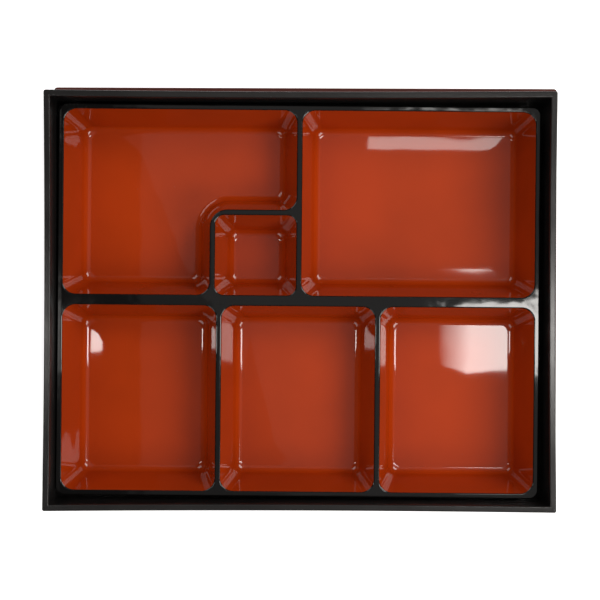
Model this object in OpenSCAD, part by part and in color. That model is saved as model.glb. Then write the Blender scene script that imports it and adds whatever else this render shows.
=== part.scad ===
// One tier of a stacking lacquered lunch box with its compartment tray,
// standing open on its own covering lid, as it is laid out in the picture.
// Box and lid are thin boards, mitred at the corners, glued and lacquered.
// The tray is one thin moulding that lifts out of the box.
// Origin: the middle of the lid's footprint, on the table. X is to the right,
// Y is to the back and Z is up. All sizes are in millimetres.

/* [Box] */
// Outside width of the box, left to right
box_w = 272; // [220:1:340]
// Outside depth of the box, front to back
box_d = 223; // [180:1:300]
// Height of the box, foot included
box_h = 52; // [46:1:90]
// Thickness of the four wall boards
wall_t = 3.5; // [3:0.1:6]
// Radius of the upright outside corners
box_corner_r = 1.5; // [0.8:0.1:3]
// Rounding of the rim's long edges
rim_edge_r = 0.7; // [0.3:0.1:1.2]
// Thickness of the floor board
floor_t = 3; // [2:0.1:5]
// How far the floor board is let into each wall board
floor_rebate = 1.75; // [1:0.05:2.2]

/* [Foot] */
// Height of the foot that drops into the rim of a tier below
foot_h = 3; // [2:0.1:5]
// Width of each foot strip
foot_w = 8; // [5:0.5:14]
// Play between the foot and that rim, on each side
stack_play = 0.6; // [0.3:0.1:1.2]

/* [Lid] */
// Height of the lid
lid_h = 24; // [16:1:40]
// Thickness of the lid's top board
lid_panel_t = 4; // [3:0.1:7]
// Thickness of the lid's rails
lid_rail_t = 5; // [4:0.1:8]
// Play between the lid's rails and the box, on each side
lid_play = 2; // [0.5:0.1:4]
// Radius of the lid's upright corners
lid_corner_r = 2.5; // [1:0.1:5]
// Rounding of the top board's long edges
lid_edge_r = 1.5; // [0.5:0.1:2.4]
// Thickness of the tongue on each rail
tongue_t = 2; // [1.5:0.1:3]
// Height of that tongue, let into the top board
tongue_h = 1.5; // [1:0.1:2]
// How far the box stands to the left of the lid's middle
lid_shift_x = 2.3; // [0:0.1:4]
// How far the box stands in front of the lid's middle
lid_shift_y = 2.3; // [0:0.1:4]

/* [Tray] */
// Play between the tray and the walls of the box, on each side
tray_play = 2.1; // [1:0.1:4]
// Share of that play by which the tray has slid to the left
tray_slide = 0.45; // [0:0.05:0.6]
// Share of that play by which the tray's ends have turned
tray_turn = 0.35; // [0:0.05:0.35]
// Thickness of the moulding
tray_t = 2; // [1.5:0.1:2.6]
// Depth of the compartments
well_depth = 28.5; // [20:0.5:32]
// Height of the tray's turned-down outer edge
tray_skirt_h = 8; // [5:0.5:14]
// Radius of the tray's outside corners
tray_corner_r = 5; // [3:0.1:7]
// Width of the rim round the outside of the compartments
border_w = 3; // [2.8:0.1:6]
// Width of the narrow dividers
divider_w = 3; // [2.8:0.1:6]
// Width of the divider between the back and the front row
main_divider_w = 5.8; // [3:0.1:9]
// Rounding of every rim's edges
tray_edge_r = 0.8; // [0.3:0.1:1.2]

/* [Compartments] */
// Slope of the compartment walls, in degrees from upright
draft = 14; // [6:0.5:18]
// Fillet between wall and floor
well_fillet = 4; // [2:0.1:6]
// Corner radius of a compartment at the rim
well_corner_r = 7; // [5:0.1:10]
// Corner radius of a compartment on its floor
floor_corner_r = 2.8; // [1.5:0.1:4]
// Width of the small square compartment
small_w = 43.8; // [36:0.1:60]
// Depth of the small square compartment, front to back
small_d = 43.2; // [36:0.1:60]
// Corner radius of the small compartment at the rim
small_corner_r = 5; // [4:0.1:8]
// Radius of the long compartment's bend round the small one
bend_r = 9.6; // [5:0.1:14]

/* [Hidden] */

$fn = 48;
// Steps in a quarter turn of a compartment's corner, and in a fillet
corner_steps = 6;
fillet_steps = 3;
edge_steps = 2;
// How far a cutting shape runs past the face that it opens
past = 1;

// Sides of a frame, counted from the front and turning to the right
front = 0;
right = 1;
back = 2;
left = 3;

// Inside of the box, and the height of the floor's upper face
inner_w = box_w - 2 * wall_t;
inner_d = box_d - 2 * wall_t;
floor_top = foot_h + floor_t;

// Outside of the foot
foot_outer_w = inner_w - 2 * stack_play;
foot_outer_d = inner_d - 2 * stack_play;

// Outside of the lid, and the height of its rails
lid_w = box_w + 2 * (lid_play + lid_rail_t);
lid_d = box_d + 2 * (lid_play + lid_rail_t);
rail_h = lid_h - lid_panel_t;

// Outside of the tray, and its compartments between borders and dividers
tray_w = inner_w - 2 * tray_play;
tray_d = inner_d - 2 * tray_play;
tray_h = well_depth + tray_t;
tray_angle = asin(tray_turn * tray_play / (tray_w / 2));
field_x = tray_w / 2 - border_w;
field_y = tray_d / 2 - border_w;
half_divider = divider_w / 2;
half_main = main_divider_w / 2;
front_well_w = (2 * field_x - 2 * divider_w) / 3;
small_left = -half_divider - small_w;
small_top = half_main + small_d;
bend_left = small_left - divider_w;
bend_top = small_top + divider_w;

// Slope of a compartment wall and the inset of its fillet's centre
slope = tan(draft);
fillet_inset = (well_depth - well_fillet) * slope + well_fillet / cos(draft);
// Inset of the rim rounding's centre, outside the compartment
edge_inset = tray_edge_r * slope - tray_edge_r / cos(draft);

black = "#1d1b1a";
brown = "#4a2019";
vermilion = "#a5300c";

// A rectangle round the origin with rounded corners
module rounded_rect(w, d, r) {
    square([w - 2 * r, d], center = true);
    square([w, d - 2 * r], center = true);
    for (x = [-1, 1], y = [-1, 1])
        translate([x * (w / 2 - r), y * (d / 2 - r)])
            circle(r);
}

// The front side of a frame seen from above, mitred at both ends
module mitred_side(w, d, t, r) {
    intersection() {
        rounded_rect(w, d, r);
        polygon([[-w / 2, -d / 2], [w / 2, -d / 2], [w / 2 - t, t - d / 2], [t - w / 2, t - d / 2]]);
    }
}

// Runs a section, drawn with Y across and Z up, along X
module along_x(length) {
    rotate([90, 0, 90])
        linear_extrude(length, center = true)
            children();
}

// A board's section: t wide from its outer face, h high, its upper edges rounded
module board_section(t, h, r) {
    square([t, h - r]);
    translate([r, 0])
        square([t - 2 * r, h]);
    for (y = [r, t - r])
        translate([y, h - r])
            circle(r);
}

// One side of a frame w by d. Its section starts at the outer face.
module frame_side(side, w, d, t, r, z, h) {
    length = side % 2 == 0 ? w : d;
    across = side % 2 == 0 ? d : w;
    rotate([0, 0, 90 * side])
        intersection() {
            translate([0, -across / 2, z])
                along_x(length)
                    children();
            translate([0, 0, z - past])
                linear_extrude(h + 2 * past)
                    mitred_side(length, across, t, r);
        }
}

// Puts a piece of the box where the box stands on the lid
module in_box() {
    translate([-lid_shift_x, -lid_shift_y, lid_h])
        children();
}

// Lid: a top board on four mitred rails, each with a tongue in the board
module lid_panel() {
    color(brown)
        difference() {
            translate([0, 0, rail_h])
                intersection() {
                    linear_extrude(lid_panel_t)
                        rounded_rect(lid_w, lid_d, lid_corner_r);
                    translate([0, -lid_d / 2, 0])
                        along_x(lid_w)
                            board_section(lid_d, lid_panel_t, lid_edge_r);
                    rotate([0, 0, 90])
                        translate([0, -lid_w / 2, 0])
                            along_x(lid_d)
                                board_section(lid_w, lid_panel_t, lid_edge_r);
                }
            translate([0, 0, rail_h - past])
                linear_extrude(tongue_h + past)
                    difference() {
                        square([lid_w - lid_rail_t + tongue_t, lid_d - lid_rail_t + tongue_t], center = true);
                        square([lid_w - lid_rail_t - tongue_t, lid_d - lid_rail_t - tongue_t], center = true);
                    }
        }
}

module lid_rail(side) {
    color(brown)
        frame_side(side, lid_w, lid_d, lid_rail_t, lid_corner_r, 0, lid_h) {
            square([lid_rail_t, rail_h]);
            translate([(lid_rail_t - tongue_t) / 2, 0])
                square([tongue_t, rail_h + tongue_h]);
        }
}

// Foot: four mitred strips glued under the floor board
module foot_strip(side) {
    color(black)
        in_box()
            frame_side(side, foot_outer_w, foot_outer_d, foot_w, box_corner_r, 0, foot_h)
                square([foot_w, foot_h]);
}

// Floor board, let into the rebates of the four walls
module box_floor() {
    color(black)
        in_box()
            translate([0, 0, foot_h])
                linear_extrude(floor_t)
                    square([inner_w + 2 * floor_rebate, inner_d + 2 * floor_rebate], center = true);
}

// A wall board with a rounded rim, and a rebate for the floor board
module box_wall(side) {
    color(black)
        in_box()
            frame_side(side, box_w, box_d, wall_t, box_corner_r, foot_h, box_h - foot_h)
                difference() {
                    board_section(wall_t, box_h - foot_h, rim_edge_r);
                    translate([wall_t - floor_rebate, -past])
                        square([floor_rebate + past, floor_t + past]);
                }
}

// Outlines of the compartments, with square corners, turning to the left. The
// middle between the first corner and the one opposite it sees every other corner.
function rectangle(x0, y0, x1, y1) = [[x0, y0], [x1, y0], [x1, y1], [x0, y1]];
long_well = [[-field_x, field_y], [-field_x, half_main], [bend_left, half_main],
             [bend_left, bend_top], [-half_divider, bend_top], [-half_divider, field_y]];
small_well = rectangle(small_left, half_main, -half_divider, small_top);
wide_well = rectangle(half_divider, half_main, field_x, field_y);
function front_well(i) =
    let (x0 = -field_x + i * (front_well_w + divider_w))
    rectangle(x0, -field_y, x0 + front_well_w, -half_main);

// Each compartment's outline and the corner radius at its rim
WELLS = [[long_well, well_corner_r], [small_well, small_corner_r], [wide_well, well_corner_r],
         for (i = [0:2]) [front_well(i), well_corner_r]];

// One corner of an outline that is set in by inset: rounded by r where it
// turns to the left, and by the bend's radius where it turns to the right
function corner_points(outline, i, inset, r) =
    let (n = len(outline),
         here = outline[i],
         before = (here - outline[(i + n - 1) % n]) / norm(here - outline[(i + n - 1) % n]),
         after = (outline[(i + 1) % n] - here) / norm(outline[(i + 1) % n] - here),
         side_a = [-before.y, before.x],
         side_b = [-after.y, after.x],
         convex = before.x * after.y - before.y * after.x > 0,
         centre = convex ? here + (inset + r) * (side_a + side_b) : here - bend_r * (side_a + side_b),
         radius = convex ? -r : bend_r + inset)
    [for (k = [0:corner_steps])
        centre + radius * (side_a * cos(90 * k / corner_steps) + side_b * sin(90 * k / corner_steps))];

function ring(outline, inset, r) =
    [for (i = [0:len(outline) - 1], p = corner_points(outline, i, inset, r)) p];

// A closed solid through rings of one outline. A level is [height, inset, radius].
module loft(outline, levels) {
    rings = [for (v = levels) [for (p = ring(outline, v[1], v[2])) [p.x, p.y, v[0]]]];
    n = len(rings[0]);
    m = len(rings);
    hub = (outline[0] + outline[len(outline) / 2]) / 2;
    polyhedron(
        points = [for (one = rings, p = one) p,
                  [hub.x, hub.y, levels[0][0]], [hub.x, hub.y, levels[m - 1][0]]],
        faces = [
            for (i = [0:n - 1])
                let (next = (i + 1) % n)
                each [[i, next, m * n],
                      [(m - 1) * n + next, (m - 1) * n + i, m * n + 1],
                      for (j = [0:m - 2])
                          each [[j * n + i, (j + 1) * n + i, (j + 1) * n + next],
                                [j * n + i, (j + 1) * n + next, j * n + next]]]],
        convexity = 6);
}

// The corner radius shrinks evenly from the rim to the floor
function radius_at(inset, r) = r + (floor_corner_r - r) * inset / fillet_inset;

// Levels of the hollow, from its floor up through fillet, wall and rim rounding
function hollow_levels(r) = [
    for (k = [0:fillet_steps])
        let (turn = 270 - k * (90 - draft) / fillet_steps,
             inset = fillet_inset + well_fillet * cos(turn))
        [tray_t + well_fillet * (1 + sin(turn)), inset, radius_at(inset, r)],
    for (k = [0:edge_steps])
        let (turn = draft + k * (90 - draft) / edge_steps,
             inset = edge_inset + tray_edge_r * cos(turn))
        [tray_h - tray_edge_r * (1 - sin(turn)), inset, radius_at(inset, r)],
    [tray_h + past, edge_inset, radius_at(edge_inset, r)]];

// Levels of the skin round it, one thickness further out
function skin_levels(r) = [
    for (k = [0:fillet_steps])
        let (turn = 270 - k * (90 - draft) / fillet_steps,
             inset = fillet_inset + (well_fillet + tray_t) * cos(turn))
        [tray_t + well_fillet + (well_fillet + tray_t) * sin(turn), inset, radius_at(inset, r + tray_t)],
    [tray_h - tray_t / 2, tray_t / 2 * slope - tray_t / cos(draft), r + tray_t]];

// The tray's flat top with its turned-down edge, before it is hollowed
module tray_deck() {
    outside = rectangle(-tray_w / 2, -tray_d / 2, tray_w / 2, tray_d / 2);
    difference() {
        loft(outside, [
            [tray_h - tray_skirt_h, 0, tray_corner_r],
            for (k = [0:edge_steps])
                let (turn = k * 90 / edge_steps, inset = tray_edge_r * (1 - cos(turn)))
                [tray_h - tray_edge_r * (1 - sin(turn)), inset, tray_corner_r - inset]]);
        loft(outside, [
            [tray_h - tray_skirt_h - past, tray_t, tray_corner_r - tray_t],
            [tray_h - tray_t, tray_t, tray_corner_r - tray_t]]);
    }
}

// Tray: one thin moulding, black on its rims and vermilion in the hollows
module partition_tray() {
    in_box()
        translate([-tray_slide * tray_play, 0, floor_top])
            rotate([0, 0, -tray_angle])
                difference() {
                    union() {
                        color(black)
                            tray_deck();
                        color(vermilion)
                            for (w = WELLS)
                                loft(w[0], skin_levels(w[1]));
                    }
                    color(vermilion)
                        for (w = WELLS)
                            loft(w[0], hollow_levels(w[1]));
                }
}

lid_panel();
lid_rail(front);  // lid_front_rail
lid_rail(right);  // lid_right_rail
lid_rail(back);  // lid_back_rail
lid_rail(left);  // lid_left_rail
foot_strip(front);  // foot_front_strip
foot_strip(right);  // foot_right_strip
foot_strip(back);  // foot_back_strip
foot_strip(left);  // foot_left_strip
box_floor();
box_wall(front);  // box_front_wall
box_wall(right);  // box_right_wall
box_wall(back);  // box_back_wall
box_wall(left);  // box_left_wall
partition_tray();
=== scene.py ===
import math

import bmesh
import bpy
from mathutils import Matrix, Vector
from mathutils.geometry import tessellate_polygon


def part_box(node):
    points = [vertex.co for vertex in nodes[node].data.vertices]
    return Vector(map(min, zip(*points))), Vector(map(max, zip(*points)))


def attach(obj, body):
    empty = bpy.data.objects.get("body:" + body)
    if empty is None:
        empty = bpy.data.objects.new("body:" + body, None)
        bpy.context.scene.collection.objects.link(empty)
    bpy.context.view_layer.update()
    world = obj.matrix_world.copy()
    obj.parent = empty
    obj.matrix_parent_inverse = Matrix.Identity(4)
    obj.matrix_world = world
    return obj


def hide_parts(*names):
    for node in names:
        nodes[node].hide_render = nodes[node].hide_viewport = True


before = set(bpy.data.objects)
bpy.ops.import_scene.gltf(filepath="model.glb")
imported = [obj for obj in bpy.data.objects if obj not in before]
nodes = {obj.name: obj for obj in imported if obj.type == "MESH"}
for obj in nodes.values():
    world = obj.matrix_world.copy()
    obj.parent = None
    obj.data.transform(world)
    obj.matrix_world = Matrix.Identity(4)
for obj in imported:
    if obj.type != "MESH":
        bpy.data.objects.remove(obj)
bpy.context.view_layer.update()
scene = bpy.context.scene
mm = 0.001

# Camera, straight above the box, a little to the right of its middle and behind it. The picture
# is moved back by the lens shift, and the camera is turned a little, as in the photograph.
camera_height = 0.766
camera = bpy.data.objects.new("camera", bpy.data.cameras.new("camera"))
camera.location = (4.9 * mm, 3.4 * mm, camera_height)
camera.rotation_euler = (0, 0, math.radians(0.2))
camera.data.sensor_width = 36
camera.data.lens = 78.4
camera.data.shift_x = -0.0226
camera.data.shift_y = -0.0159
camera.data.clip_start = 0.05
scene.collection.objects.link(camera)
scene.camera = camera
scene.view_settings.view_transform = "Standard"


# Lid: a thin top board on four mitred rails, glued and coated all over with a dark red-brown
# lacquer that is brushed on, so it is glossy with faint long ripples and a little dust in it.
tone_scale = 14
tone_swing = 0.1
smudge_scale = 55
duller = 1.2
glossier = 0.85
dust_scale = 95
dust_core = 0.018
dust_edge = 0.03
dust_tint = 0.8
dust_light = 0.03
grain_scale = 900
brushed = (1, 0.25, 1)
refraction = 1.5


def lacquer(name, color, roughness, ripple, ripple_size, grain=0.0):
    """A lacquer with slow colour and gloss variation, ripples, brushed grain and specks of dust."""
    made = bpy.data.materials.new(name)
    made.use_nodes = True
    tree = made.node_tree
    shader = tree.nodes["Principled BSDF"]
    shader.inputs["IOR"].default_value = refraction
    place = tree.nodes.new("ShaderNodeTexCoord").outputs["Object"]

    def noise(scale, detail, stretch=(1, 1, 1)):
        turn = tree.nodes.new("ShaderNodeMapping")
        turn.inputs["Scale"].default_value = stretch
        tree.links.new(place, turn.inputs["Vector"])
        cloud = tree.nodes.new("ShaderNodeTexNoise")
        cloud.inputs["Scale"].default_value = scale
        cloud.inputs["Detail"].default_value = detail
        tree.links.new(turn.outputs["Vector"], cloud.inputs["Vector"])
        return cloud.outputs["Fac"]

    def spread(value, low, high, out_low, out_high):
        span = tree.nodes.new("ShaderNodeMapRange")
        limits = {"From Min": low, "From Max": high, "To Min": out_low, "To Max": out_high}
        for socket, number in limits.items():
            span.inputs[socket].default_value = number
        tree.links.new(value, span.inputs["Value"])
        return span.outputs["Result"]

    shade = tree.nodes.new("ShaderNodeMix")
    shade.data_type = "RGBA"
    shade.inputs["A"].default_value = (*[c * (1 - tone_swing) for c in color], 1)
    shade.inputs["B"].default_value = (*[c * (1 + tone_swing) for c in color], 1)
    tree.links.new(spread(noise(tone_scale, 3), 0.35, 0.65, 0, 1), shade.inputs["Factor"])

    dust = tree.nodes.new("ShaderNodeTexVoronoi")
    dust.inputs["Scale"].default_value = dust_scale
    tree.links.new(place, dust.inputs["Vector"])
    speck = spread(dust.outputs["Distance"], dust_core, dust_edge, 1, 0)
    dusty = tree.nodes.new("ShaderNodeMix")
    dusty.data_type = "RGBA"
    dusty.inputs["B"].default_value = (*[c * dust_tint + dust_light for c in color], 1)
    tree.links.new(speck, dusty.inputs["Factor"])
    tree.links.new(shade.outputs["Result"], dusty.inputs["A"])
    tree.links.new(dusty.outputs["Result"], shader.inputs["Base Color"])

    gloss = spread(noise(smudge_scale, 4), 0.3, 0.7, roughness * glossier, roughness * duller)
    tree.links.new(gloss, shader.inputs["Roughness"])

    wave = tree.nodes.new("ShaderNodeBump")
    wave.inputs["Distance"].default_value = ripple
    tree.links.new(noise(1 / ripple_size, 1.5), wave.inputs["Height"])
    fine = tree.nodes.new("ShaderNodeBump")
    fine.inputs["Distance"].default_value = grain
    tree.links.new(noise(grain_scale, 2, brushed), fine.inputs["Height"])
    tree.links.new(wave.outputs["Normal"], fine.inputs["Normal"])
    tree.links.new(fine.outputs["Normal"], shader.inputs["Normal"])
    return made


lid_lacquer = lacquer("lid_lacquer", (0.085, 0.017, 0.012), 0.2, 0.00006, 0.03, grain=0.000004)
for name in ("lid_panel", "lid_front_rail", "lid_right_rail", "lid_back_rail", "lid_left_rail"):
    nodes[name].data.materials.clear()
    nodes[name].data.materials.append(lid_lacquer)

# Box: a floor board in the rebates of four thin mitred wall boards, on four foot strips. All of
# it is sprayed satin black. The walls have bent inwards a little between their corners.
wall_t = 3.5 * mm
corner_r = 1.5 * mm
rim_edge_r = 0.7 * mm
floor_t = 3 * mm
floor_rebate = 1.75 * mm
bow = 0.8 * mm
bow_power = 1.5
rim_steps = 5
corner_steps = 6
mitre_steps = 4
height_steps = 8
stations = 48
stations_share = 0.97
wall_weld = 1e-6
flat_angle = math.radians(32)

satin_black = lacquer("satin_black", (0.012, 0.0112, 0.011), 0.2, 0.00004, 0.02, grain=0.000002)
for name in ("box_floor", "foot_front_strip", "foot_right_strip", "foot_back_strip", "foot_left_strip"):
    nodes[name].data.materials.clear()
    nodes[name].data.materials.append(satin_black)

wall_boxes = [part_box(f"box_{side}_wall") for side in ("front", "right", "back", "left")]
box_low = Vector([min(low[i] for low, high in wall_boxes) for i in range(3)])
box_high = Vector([max(high[i] for low, high in wall_boxes) for i in range(3)])
box_middle = (box_low + box_high) / 2


def wall_section(height):
    """The board's section as (depth from the outer face, height), from the rebate up, round and back."""
    points = [(wall_t, floor_t), (wall_t - floor_rebate, floor_t), (wall_t - floor_rebate, 0), (0, 0)]
    points += [(0, height * k / height_steps) for k in range(1, height_steps)]
    for k in range(rim_steps + 1):
        turn = math.pi / 2 * k / rim_steps
        points.append((rim_edge_r * (1 - math.cos(turn)), height - rim_edge_r * (1 - math.sin(turn))))
    for k in range(rim_steps + 1):
        turn = math.pi / 2 * k / rim_steps
        depth = wall_t - rim_edge_r * (1 - math.sin(turn))
        points.append((depth, height - rim_edge_r * (1 - math.cos(turn))))
    rise = (height - floor_t) / height_steps
    points += [(wall_t, floor_t + rise * k) for k in range(height_steps - 1, 0, -1)]
    return points


def finished(made, body, slot, materials, *replaced):
    """Links a mesh as a piece of the object, with even shading on its flat faces."""
    piece = bpy.data.objects.new(made.name, made)
    scene.collection.objects.link(piece)
    for material in materials:
        made.materials.append(material)
    made.shade_smooth()
    made.set_sharp_from_angle(angle=flat_angle)
    even = piece.modifiers.new("even", "WEIGHTED_NORMAL")
    even.keep_sharp = True
    depsgraph = bpy.context.evaluated_depsgraph_get()
    piece.data = bpy.data.meshes.new_from_object(piece.evaluated_get(depsgraph))
    piece.modifiers.clear()
    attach(piece, body)
    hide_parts(*replaced)


for quarter, side in enumerate(("front", "right", "back", "left")):
    size = box_high - box_low
    length, across = (size.x, size.y) if quarter % 2 == 0 else (size.y, size.x)
    half = length / 2
    ends = []
    for k in range(corner_steps + 1):
        ends.append(half - corner_r * (1 - math.sin(math.pi / 4 * k / corner_steps)))
    ends += [half - wall_t * k / mitre_steps for k in range(2, mitre_steps + 1)]
    inner = [half * (2 * k / stations - 1) * stations_share for k in range(stations + 1)]
    places = sorted(set(ends + [-x for x in ends] + inner))
    section = wall_section(size.z)
    shape = bmesh.new()
    rows = []
    for x in places:
        over = max(0, abs(x) - (half - corner_r))
        outer = corner_r - math.sqrt(corner_r ** 2 - over ** 2)
        row = []
        for depth, height in section:
            held = max(depth, outer)
            along = math.copysign(min(abs(x), half - held), x)
            bend = bow * (1 - (along / half) ** 2) * (height / size.z) ** bow_power
            row.append(shape.verts.new((along, held + bend - across / 2, box_low.z + height)))
        rows.append(row)
    for one, other in zip(rows, rows[1:]):
        for k in range(len(section)):
            after = (k + 1) % len(section)
            shape.faces.new((one[k], other[k], other[after], one[after]))
    shape.faces.new(list(reversed(rows[0])))
    shape.faces.new(rows[-1])
    bmesh.ops.remove_doubles(shape, verts=shape.verts, dist=wall_weld)
    bmesh.ops.dissolve_degenerate(shape, edges=shape.edges, dist=wall_weld)
    bmesh.ops.recalc_face_normals(shape, faces=shape.faces)
    wall = bpy.data.meshes.new(f"{side}_wall_board")
    shape.to_mesh(wall)
    shape.free()
    turned = Matrix.Rotation(math.pi / 2 * quarter, 4, "Z")
    wall.transform(Matrix.Translation((box_middle.x, box_middle.y, 0)) @ turned)
    finished(wall, "box", "box_lacquer", [satin_black], f"box_{side}_wall")

# Tray: one thin moulding, gloss black on its rims and underneath, with vermilion sprayed into
# its six hollows up to just below the rims. It lies loose in the box, slightly turned.
tray_play = 2.1 * mm
tray_slide = 0.45
tray_turn = 0.35
tray_t = 2 * mm
well_depth = 28.5 * mm
skirt_h = 8 * mm
tray_corner_r = 5 * mm
border = 3 * mm
divider = 3 * mm
main_divider = 5.8 * mm
tray_edge_r = 0.8 * mm
draft = math.radians(14)
fillet_r = 4 * mm
well_corner_r = 7 * mm
floor_corner_r = 4 * mm
small_w = 43.8 * mm
small_d = 43.2 * mm
small_corner_r = 5 * mm
bend_r = 9.6 * mm
crown = 0.22 * mm
web_depth = 4.6 * mm
long_reach = 11.5 * mm
small_reach = 5.5 * mm
wide_reach = 30 * mm
front_reach = 24 * mm
turn_steps = 14
fillet_steps = 9
edge_steps = 6
bare_edge_steps = 4
draft_steps = 8
floor_steps = 6
skin_steps = 6
tray_weld = 1e-7
BLACK, RED = 0, 1

tray_low = box_low.z + floor_t
tray_top = tray_low + tray_t + well_depth
tray_w = box_high.x - box_low.x - 2 * (wall_t + tray_play)
tray_d = box_high.y - box_low.y - 2 * (wall_t + tray_play)
field_x = tray_w / 2 - border
field_y = tray_d / 2 - border
half_divider = divider / 2
half_main = main_divider / 2
small_left = -half_divider - small_w
small_top = half_main + small_d
bend_left = small_left - divider
bend_top = small_top + divider
front_w = (2 * field_x - 2 * divider) / 3
slope = math.tan(draft)
fillet_inset = (well_depth - fillet_r) * slope + fillet_r / math.cos(draft)
edge_inset = tray_edge_r * slope - tray_edge_r / math.cos(draft)


def rectangle(x0, y0, x1, y1):
    """The corners of a rectangle, anticlockwise."""
    return [(x0, y0), (x1, y0), (x1, y1), (x0, y1)]


wells = [([(-field_x, field_y), (-field_x, half_main), (bend_left, half_main), (bend_left, bend_top),
           (-half_divider, bend_top), (-half_divider, field_y)], well_corner_r, long_reach),
         (rectangle(small_left, half_main, -half_divider, small_top), small_corner_r, small_reach),
         (rectangle(half_divider, half_main, field_x, field_y), well_corner_r, wide_reach)]
for i in range(3):
    x0 = -field_x + i * (front_w + divider)
    wells.append((rectangle(x0, -field_y, x0 + front_w, -half_main), well_corner_r, front_reach))


def ring(outline, inset, r):
    """The outline set in, its corners rounded by r, and by the bend's radius where it turns back."""
    points = []
    for i, here in enumerate(outline):
        here = Vector(here)
        before = (here - Vector(outline[i - 1])).normalized()
        after = (Vector(outline[(i + 1) % len(outline)]) - here).normalized()
        side_a, side_b = Vector((-before.y, before.x)), Vector((-after.y, after.x))
        left = before.x * after.y - before.y * after.x > 0
        centre = here + (inset + r) * (side_a + side_b) if left else here - bend_r * (side_a + side_b)
        radius = -r if left else bend_r + inset
        for k in range(turn_steps + 1):
            turn = math.pi / 2 * k / turn_steps
            points.append(centre + radius * (side_a * math.cos(turn) + side_b * math.sin(turn)))
    return points


def radius_at(inset, r):
    """The corner radius at an inset, between r at the rim and the floor's own."""
    return r + (floor_corner_r - r) * inset / fillet_inset


def hollow_levels(r, reach):
    """Height, inset and corner radius from the rim's edge down the wall and fillet to the floor."""
    levels = []
    for k in range(edge_steps + 1):
        turn = math.pi / 2 - k * (math.pi / 2 - draft) / edge_steps
        inset = edge_inset + tray_edge_r * math.cos(turn)
        levels.append((tray_top - tray_edge_r * (1 - math.sin(turn)), inset, radius_at(inset, r)))
    top, bottom = levels[-1], tray_low + tray_t + fillet_r * (1 - math.sin(draft))
    for k in range(1, draft_steps):
        z = top[0] + (bottom - top[0]) * k / draft_steps
        inset = (tray_top - z) * slope
        levels.append((z, inset, radius_at(inset, r)))
    for k in range(fillet_steps + 1):
        turn = draft + math.pi + (math.pi / 2 - draft) * k / fillet_steps
        inset = fillet_inset + fillet_r * math.cos(turn)
        levels.append((tray_low + tray_t + fillet_r * (1 + math.sin(turn)), inset, radius_at(inset, r)))
    for k in range(1, floor_steps + 1):
        inward = reach * k / floor_steps
        rise = crown * (1 - (1 - k / floor_steps) ** 2) * reach / front_reach
        levels.append((tray_low + tray_t + rise, fillet_inset + inward, floor_corner_r))
    return levels


def skin_levels(r):
    """The underside of a hollow, one thickness further out, from the web's lower face to the floor."""
    levels = []
    lowest = tray_low + tray_t + fillet_r - (fillet_r + tray_t) * math.sin(draft)
    for k in range(skin_steps):
        z = tray_top - web_depth + (lowest - tray_top + web_depth) * k / skin_steps
        inset = (tray_top - z) * slope - tray_t / math.cos(draft)
        levels.append((z, inset, radius_at(inset, r + tray_t)))
    for k in range(fillet_steps + 1):
        turn = draft + math.pi + (math.pi / 2 - draft) * k / fillet_steps
        inset = fillet_inset + (fillet_r + tray_t) * math.cos(turn)
        z = tray_low + tray_t + fillet_r + (fillet_r + tray_t) * math.sin(turn)
        levels.append((z, inset, radius_at(inset, r + tray_t)))
    return levels


shape = bmesh.new()


def put_rings(outline, levels):
    """The corners of one ring for each level."""
    return [[shape.verts.new((p.x, p.y, z)) for p in ring(outline, inset, r)] for z, inset, r in levels]


def join_rings(rings, painted_from=None):
    """Faces from ring to ring, vermilion from the given ring on."""
    for j, (one, other) in enumerate(zip(rings, rings[1:])):
        for i in range(len(one)):
            after = (i + 1) % len(one)
            face = shape.faces.new((one[i], other[i], other[after], one[after]))
            face.material_index = RED if painted_from is not None and j >= painted_from else BLACK


def fill(loops, paint=BLACK):
    """Flat triangles between an outer loop and the loops inside it."""
    flat = [v for loop in loops for v in loop]
    for triangle in tessellate_polygon([[v.co for v in loop] for loop in loops]):
        face = shape.faces.new([flat[i] for i in triangle])
        face.material_index = paint


tray_outline = rectangle(-tray_w / 2, -tray_d / 2, tray_w / 2, tray_d / 2)
skirt = [(tray_top - web_depth, tray_t, tray_corner_r - tray_t),
         (tray_top - skirt_h, tray_t, tray_corner_r - tray_t), (tray_top - skirt_h, 0, tray_corner_r)]
for k in range(edge_steps + 1):
    turn = math.pi / 2 * k / edge_steps
    inset = tray_edge_r * (1 - math.cos(turn))
    skirt.append((tray_top - tray_edge_r * (1 - math.sin(turn)), inset, tray_corner_r - inset))
edge = put_rings(tray_outline, skirt)
join_rings(edge)
hollows = [put_rings(outline, hollow_levels(r, reach)) for outline, r, reach in wells]
skins = [put_rings(outline, skin_levels(r)) for outline, r, reach in wells]
for hollow, skin in zip(hollows, skins):
    join_rings(hollow, painted_from=bare_edge_steps)
    fill([hollow[-1]], RED)
    join_rings(skin)
    fill([skin[-1]])
fill([edge[-1]] + [hollow[0] for hollow in hollows])
fill([edge[0]] + [skin[0] for skin in skins])
bmesh.ops.remove_doubles(shape, verts=shape.verts, dist=tray_weld)
bmesh.ops.recalc_face_normals(shape, faces=shape.faces)
tray = bpy.data.meshes.new("compartment_tray")
shape.to_mesh(tray)
shape.free()
tray_angle = math.asin(tray_turn * tray_play / (tray_w / 2))
tray.transform(Matrix.Translation((box_middle.x - tray_slide * tray_play, box_middle.y, 0))
               @ Matrix.Rotation(-tray_angle, 4, "Z"))

gloss_black = lacquer("gloss_black", (0.004, 0.0037, 0.0037), 0.05, 0.0001, 0.012)
vermilion = lacquer("vermilion", (0.375, 0.036, 0.0028), 0.025, 0.00005, 0.03)
finished(tray, "tray", "tray_lacquer", [gloss_black, vermilion], "partition_tray")

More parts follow.
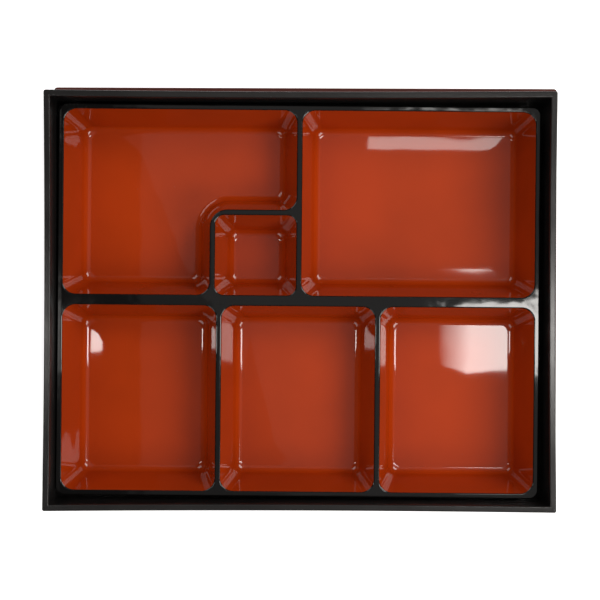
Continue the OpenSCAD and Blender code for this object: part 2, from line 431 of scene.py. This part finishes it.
# Floor of the studio and its lights: windows and a ceiling of light overhead, which the lacquer
# mirrors, and soft boxes on the diagonals, where the hollows' floors and walls don't mirror them.
floor_reach = 3
paper_glow = 0.74
floor_mesh = bpy.data.meshes.new("studio_floor")
floor_corners = [(x, y, 0) for x, y in rectangle(-floor_reach, -floor_reach, floor_reach, floor_reach)]
floor_mesh.from_pydata(floor_corners, [], [(0, 1, 2, 3)])
floor = bpy.data.objects.new("studio_floor", floor_mesh)
scene.collection.objects.link(floor)
paper = bpy.data.materials.new("studio_paper")
paper.use_nodes = True
tree = paper.node_tree
white = tree.nodes["Principled BSDF"]
white.inputs["Base Color"].default_value = (0.86, 0.86, 0.86, 1)
white.inputs["Roughness"].default_value = 0.9
path = tree.nodes.new("ShaderNodeLightPath")
seen = tree.nodes.new("ShaderNodeMath")
seen.operation = "MAXIMUM"
tree.links.new(path.outputs["Is Camera Ray"], seen.inputs[0])
tree.links.new(path.outputs["Is Glossy Ray"], seen.inputs[1])
also = tree.nodes.new("ShaderNodeMath")
also.operation = "MAXIMUM"
tree.links.new(seen.outputs[0], also.inputs[0])
tree.links.new(path.outputs["Is Transmission Ray"], also.inputs[1])
lift = tree.nodes.new("ShaderNodeMath")
lift.operation = "MULTIPLY"
lift.inputs[1].default_value = paper_glow
tree.links.new(also.outputs[0], lift.inputs[0])
white.inputs["Emission Color"].default_value = (1, 1, 1, 1)
tree.links.new(lift.outputs[0], white.inputs["Emission Strength"])
floor_mesh.materials.append(paper)

world = bpy.data.worlds.new("studio")
scene.world = world
world.use_nodes = True
background = world.node_tree.nodes["Background"]
background.inputs["Color"].default_value = (1, 0.98, 0.96, 1)
background.inputs["Strength"].default_value = 0.06
warm = (1, 0.965, 0.93)


def soft_box(name, place, aim, width, height, radiance, color=(1, 1, 1)):
    """A rectangular light of an even radiance, turned to face a point."""
    lamp = bpy.data.lights.new(name, "AREA")
    lamp.shape = "RECTANGLE"
    lamp.size = width
    lamp.size_y = height
    lamp.energy = radiance * math.pi * width * height
    lamp.color = color
    made = bpy.data.objects.new(name, lamp)
    made.location = place
    made.rotation_euler = (Vector(aim) - Vector(place)).to_track_quat("-Z", "Y").to_euler()
    made.visible_camera = False
    scene.collection.objects.link(made)
    return made


def overhead(name, x0, x1, y0, y1, height, radiance):
    """A warm light that lies flat overhead, from x0 to x1 and y0 to y1."""
    x, y = (x0 + x1) / 2, (y0 + y1) / 2
    return soft_box(name, (x, y, height), (x, y, 0), x1 - x0, y1 - y0, radiance, warm)


window_z = 1.53
window_x = 0.27
window_front = -0.135
window_back = -0.008
window_glow = 15.5
overhead("window_right", window_x, 0.95, window_front, window_back, window_z, window_glow)
fade_count = 8
fade_w = 6 * mm
fade_slant = 2.5 * mm
fade_drop = 1.75
for k in range(fade_count):
    away = fade_count - k
    x0 = window_x - fade_w * away
    front = window_front + fade_slant * away
    glow = window_glow - fade_drop * away
    overhead(f"window_fade_{k}", x0, x0 + fade_w, front, window_back, window_z, glow)
overhead("window_back", 0.098, 0.345, 0.287, 0.305, window_z, 6)
overhead("window_left", -0.95, -0.395, -0.1, -0.055, window_z, 15)
overhead("ceiling", -0.3, 1.5, -1.2, 1.2, 1.6, 0.16)
overhead("ceiling_far", -0.12, 1.5, -1.2, 1.2, 1.65, 0.15).rotation_euler.z = math.radians(24)

box_centre = (0, 0, 0.05)
lamp_w = 0.6
key_glow = 7.3
fill_glow = 2.6
soft_box("key_front", (0.85, -0.62, 1.1), box_centre, lamp_w, lamp_w, key_glow, warm)
soft_box("key_back", (0.85, 0.62, 1.1), box_centre, lamp_w, lamp_w, key_glow, warm)
soft_box("fill_front", (-0.8, -0.75, 1.1), box_centre, lamp_w, lamp_w, fill_glow)
soft_box("fill_back", (-0.8, 0.75, 1.1), box_centre, lamp_w, lamp_w, fill_glow)
